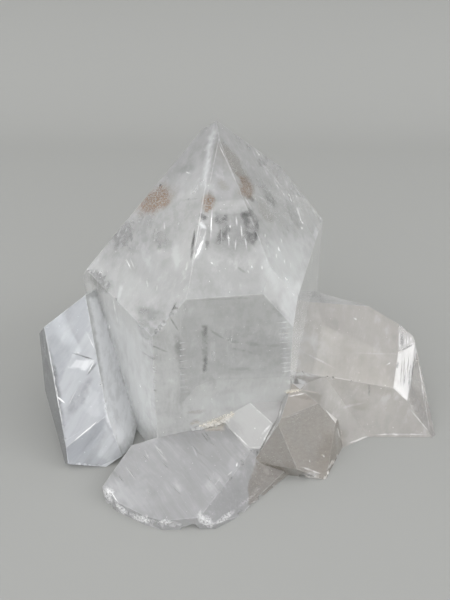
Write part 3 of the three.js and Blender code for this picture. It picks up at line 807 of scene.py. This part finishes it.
def paint_crystals(body, data, parents):
    """Stores what each triangle takes from its crystal: tint with its face's painted light or shade, milk,
    growth marks, the painted edge highlight and chips.
    """
    grains = {}
    for crystal_name, crystal in CRYSTALS.items():
        x0, y0, x1, y1 = crystal["grain"]
        direction = (body.hit(x1, y1)[0] - body.hit(x0, y0)[0]).normalized()
        grains[crystal_name] = direction * crystal["drawn"]
    kinds = {"tint": "FLOAT_COLOR", "milk": "FLOAT", "lines": "FLOAT", "painted_edge_highlight": "FLOAT",
             "chip": "FLOAT", "grain": "FLOAT_VECTOR"}
    rows = []
    for parent in parents:
        crystal_name, painted_face_shading = body.face_names[parent]
        crystal = CRYSTALS[crystal_name]
        # Each face's tint is made lighter or darker: a painted light or shade for how that face is lit.
        tint = [min(1, part * painted_face_shading) for part in crystal["tint"]] + [1]
        chipped = body.mesh.faces[parent].calc_area() < CHIP_AREA * MM ** 2
        rows.append((tint, crystal["milk"], crystal["lines"], crystal["edge"],
                     crystal["chips"] if chipped else 0, grains[crystal_name]))
    for (name, kind), values in zip(kinds.items(), zip(*rows)):
        add_values(data, name, kind, "FACE", values)


def painted_body(body, name):
    """The body as a fine mesh that carries each face's tint and each point's marks."""
    points, triangles, parents, on_edge = fine_triangles(body)
    data = bpy.data.meshes.new(name)
    data.from_pydata(points, [], triangles)
    paint_marks(body, data, points)
    add_values(data, "edge", "FLOAT", "POINT", on_edge)
    paint_crystals(body, data, parents)
    piece = bpy.data.objects.new(name, data)
    bpy.context.scene.collection.objects.link(piece)
    return piece


def crystal_material():
    """Quartz: clear, slightly clouded crystal with wisps along its growth, stains, smoke and bright films,
    with painted face shading, painted shade, sheen and edge highlights in its colour.
    """
    material = principled("quartz", (0.9, 0.91, 0.91), 0.12)
    graph = Graph(material.node_tree)
    shader = graph.tree.nodes["Principled BSDF"]
    shader.inputs["IOR"].default_value = IOR
    shader.inputs["Coat Weight"].default_value = GLOSS
    shader.inputs["Coat Roughness"].default_value = GLOSS_ROUGHNESS
    absorption = graph.node("ShaderNodeVolumeAbsorption", {
        "Color": ABSORPTION_COLOR, "Density": ABSORPTION_DENSITY})
    graph.tree.links.new(absorption.outputs["Volume"], graph.tree.nodes["Material Output"].inputs["Volume"])

    # Places are drawn out along each crystal's growth marks, and bent a little.
    place = graph.node("ShaderNodeTexCoord").outputs["Object"]
    grain = graph.attribute("grain", "Vector")
    shortened = graph.scaled(grain, graph.dot(place, grain))
    drawn = graph.vector("SUBTRACT", place, shortened)
    bend = graph.node("ShaderNodeTexNoise", {"Vector": place, "Scale": 30.0, "Detail": 2.0})
    offset = graph.scaled(graph.vector("SUBTRACT", bend.outputs["Color"], (0.5, 0.5, 0.5)), 7 * MM)
    drawn = graph.vector("ADD", drawn, offset)

    cloud = graph.noise(place, size=26, detail=5, rough=0.6)
    wisp = graph.noise(drawn, size=7, detail=5, rough=0.62)
    fine = graph.noise(drawn, size=1.5, detail=3, rough=0.6)
    mottle = graph.noise(place, size=3.2, detail=5, rough=0.7)
    speckle = graph.noise(place, size=1.2, detail=4, rough=0.75)
    patch = graph.noise(place, size=6, detail=5, rough=0.6)

    milky = graph.times(graph.ramp(cloud, 0.4, 0.65), graph.ramp(wisp, 0.4, 0.68))
    milky = graph.times(milky, graph.attribute("milk"))
    dim = graph.times(graph.ramp(cloud, 0.55, 0.38), graph.ramp(wisp, 0.6, 0.4))
    # The tint already holds each face's painted light or shade.
    color = graph.attribute("tint", "Color")
    color = graph.mix(graph.times(milky, 0.3), color, MILKY)
    color = graph.mix(graph.times(dim, 0.3), color, DIM)
    lines = graph.attribute("lines")
    color = graph.mix(graph.times(graph.ramp(fine, 0.5, 0.35), lines), color, LINE)
    color = graph.mix(graph.times(graph.ramp(fine, 0.52, 0.68), lines), color, WHITE)

    hidden = 0.0
    streaky = graph.math("ADD", graph.times(patch, 0.5), graph.times(wisp, 0.5))
    breakup = {"smoke_and_painted_shade": graph.ramp(streaky, 0.38, 0.58), "rust": graph.ramp(speckle, 0.4, 0.55),
               "white_and_painted_highlight": graph.ramp(wisp, 0.38, 0.6), "haze_and_painted_light": graph.ramp(wisp, 0.36, 0.6)}
    # Each mark is mixed into the colour; besides milk, smoke and cracks, the haze, smoke and white marks
    # carry painted sheen and light, painted shade and painted highlights.
    for mark, (mark_color, hiding, broken) in MARKS.items():
        strength = graph.attribute(mark)
        gaps = breakup.get(mark, patch)
        strength = graph.times(strength, graph.ramp(gaps, 0.0, 1.0, 1 - broken, 1.0))
        color = graph.mix(strength, color, (*mark_color, 1))
        hidden = graph.math("MAXIMUM", hidden, graph.times(strength, hiding))
    rim = graph.attribute("rim")
    color = graph.mix(graph.times(rim, graph.ramp(speckle, 0.46, 0.38)), color, GRIT)
    color = graph.mix(graph.times(rim, graph.ramp(speckle, 0.46, 0.58)), color, WHITE)
    chip = graph.attribute("chip")
    color = graph.mix(graph.times(chip, 0.5), color, WHITE)
    # A painted highlight: points on sharp edges are lightened towards white and made less clear.
    edge = graph.times(graph.attribute("edge"), graph.ramp(mottle, 0.35, 0.6, 0.15, 0.5))
    edge = graph.times(edge, graph.attribute("painted_edge_highlight"))
    color = graph.mix(edge, color, WHITE)
    graph.give(shader.inputs["Base Color"], color)

    # What is opaque lets less light through, and milk makes the surface duller.
    fleck = graph.ramp(graph.noise(place, size=1.4, detail=1, rough=0.5), 0.765, 0.81)
    opaque = graph.math("MAXIMUM", graph.math("MAXIMUM", hidden, edge), fleck)
    opaque = graph.math("MAXIMUM", opaque, graph.times(rim, 0.6))
    opaque = graph.math("MAXIMUM", opaque, graph.math("MAXIMUM", graph.times(milky, 0.3), chip))
    graph.give(shader.inputs["Transmission Weight"], graph.ramp(opaque, 0.0, 1.0, *CLEARNESS))
    graph.give(shader.inputs["Roughness"], graph.ramp(milky, 0.0, 1.0, *ROUGHNESS))
    height = graph.math("ADD", graph.times(fine, graph.times(lines, 2.0)),
                        graph.times(graph.times(speckle, rim), 2.0))
    bump = graph.node("ShaderNodeBump", {"Height": height, "Strength": 0.3, "Distance": 0.5 * MM})
    graph.give(shader.inputs["Normal"], bump.outputs["Normal"])
    return material


def stroke_places(body, strokes, random):
    """Places of flakes for strokes drawn over the photograph, each behind the face it is seen through."""
    places = []
    for x0, y0, x1, y1, width, depth, count in strokes:
        along = Vector((x1 - x0, y1 - y0))
        across = Vector((-along.y, along.x)).normalized() * width / 2
        for _ in range(count):
            t, s = random.uniform(-0.1, 1.1), random.normal() * 0.55
            x, y = x0 + along.x * t + across.x * s, y0 + along.y * t + across.y * s
            place = body.behind(x, y, depth * MM * random.uniform(0.4, 1.6))
            if (place and noise.noise(place * 450) > random.uniform(-0.45, 0.25)
                    and body.holds(place, 0.3 * MM)):
                places.append(place)
    return places


def wisp_places(body, count, random):
    """Places of the milk behind the faces that the photograph shows, in wisps that hang down."""
    places = []
    while len(places) < count:
        x, y = random.uniform(*OBJECT_ACROSS), random.uniform(*OBJECT_DOWN)
        _, _, face = body.hit(x, y)
        if face is None:
            continue
        place = body.behind(x, y, random.uniform(*WISP_DEPTH) * MM)
        hang = Vector((place.x, place.y, place.z * 0.35))
        value = noise.fractal(hang * 120, 0.9, 2.1, 4) + 0.3 * noise.noise(hang * 500)
        milk = body.crystal_at(face)["milk"]
        if value * milk > random.uniform(0.1, 0.9) and body.holds(place, 0.5 * MM):
            places.append(place)
    return places


def veil_places(body, veils, each, random):
    """Places on curved veils, the healed cracks that cross the whole body."""
    low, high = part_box("quartz_cluster")
    places = []
    for _ in range(veils):
        while True:
            middle = Vector([random.uniform(low[k], high[k]) for k in range(3)])
            if body.holds(middle, VEIL_DEPTH * MM):
                break
        turn = Matrix.Rotation(random.uniform(0, math.pi), 3, "Z") @ Matrix.Rotation(
            random.normal() * 0.35, 3, "X")
        wide, tall, bow = [random.uniform(*span) for span in (VEIL_WIDE, VEIL_TALL, VEIL_BOW)]
        for _ in range(each):
            u, v = random.uniform(-1, 1, 2)
            flat = Vector((u * wide, bow * (u * u + v * v), v * tall)) * MM
            place = middle + turn @ flat
            thick = noise.fractal(place * 90, 0.9, 2.1, 3)
            if thick > random.uniform(-0.2, 0.6) and body.holds(place, 0.8 * MM):
                places.append(place)
    return places


def make_flakes(name, places, size, material, random):
    """One mesh of small three-cornered flakes, one at each place, turned at random."""
    count = len(places)
    middle = np.array(places, float)[:, None, :]
    spread = random.normal(size=(count, 3, 3))
    spread /= np.linalg.norm(spread, axis=2, keepdims=True)
    sizes = size * MM * random.uniform(0.5, 1.3, size=(count, 1, 1))
    corners = (middle + spread * sizes).reshape(-1, 3)
    data = bpy.data.meshes.new(name)
    data.vertices.add(3 * count)
    data.vertices.foreach_set("co", corners.ravel())
    data.loops.add(3 * count)
    data.loops.foreach_set("vertex_index", np.arange(3 * count))
    data.polygons.add(count)
    data.polygons.foreach_set("loop_start", np.arange(0, 3 * count, 3))
    data.update(calc_edges=True)
    data.materials.append(material)
    piece = bpy.data.objects.new(name, data)
    bpy.context.scene.collection.objects.link(piece)
    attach(piece, "root")
    return piece


def crust_material():
    """Cream mineral crust with rusty stains."""
    material = principled("seam_crust", (0.85, 0.8, 0.7), 0.5)
    graph = Graph(material.node_tree)
    shader = graph.tree.nodes["Principled BSDF"]
    place = graph.node("ShaderNodeTexCoord").outputs["Object"]
    stain = graph.ramp(graph.noise(place, size=5, detail=3, rough=0.6), 0.52, 0.7)
    grit = graph.noise(place, size=0.6, detail=3, rough=0.6)
    color = graph.mix(stain, CRUST_PALE, CRUST_STAIN)
    color = graph.mix(graph.ramp(grit, 0.5, 0.7), color, CRUST_GRIT)
    graph.give(shader.inputs["Base Color"], color)
    graph.give(shader.inputs["Roughness"], graph.ramp(grit, 0.3, 0.7, 0.3, 0.65))
    bump = graph.node("ShaderNodeBump", {"Height": grit, "Strength": 0.6, "Distance": 0.2 * MM})
    graph.give(shader.inputs["Normal"], bump.outputs["Normal"])
    return material


def make_crust(body, strokes, random):
    """Grains of crust in the seams between the crystals, half sunk in the faces they sit on."""
    made = bmesh.new()
    for x0, y0, x1, y1, width, count in strokes:
        for _ in range(count):
            t, side = random.uniform(), random.normal() * width / 2
            place, normal, _ = body.hit(x0 + (x1 - x0) * t, y0 + (y1 - y0) * t + side)
            if place is None:
                continue
            size = random.uniform(*GRAIN_SIZE) * MM
            grain = bmesh.ops.create_icosphere(made, subdivisions=1, radius=size)
            squash = Vector(random.uniform(0.6, 1.3, 3))
            for vert in grain["verts"]:
                vert.co = place + (vert.co * squash) * (1 + 0.5 * noise.noise(vert.co * 900 + place * 300))
    data = bpy.data.meshes.new("seam_crust")
    made.to_mesh(data)
    data.materials.append(crust_material())
    piece = bpy.data.objects.new("seam_crust", data)
    bpy.context.scene.collection.objects.link(piece)
    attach(piece, "root")


random = np.random.default_rng(SEED)
noise.seed_set(SEED)
make_camera()
make_stage()
make_light()
body = Body(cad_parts["quartz_cluster"])
crystals = painted_body(body, "quartz_crystals")
crystals.data.materials.append(crystal_material())
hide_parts("quartz_cluster")
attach(crystals, "root")

make_crust(body, CRUST, random)
milk = principled("milk", MILK_COLOR, 0.4)
make_flakes("milky_wisps", wisp_places(body, WISP_FLAKES, random), WISP_FLAKE_SIZE, milk, random)
make_flakes("milky_veils", veil_places(body, VEILS, VEIL_FLAKES, random), FLAKE_SIZE, milk, random)
for piece_name, (material_name, color, roughness, strokes) in DEEP_MARKS.items():
    places = stroke_places(body, strokes, random)
    make_flakes(piece_name, places, FLAKE_SIZE, principled(material_name, color, roughness), random)
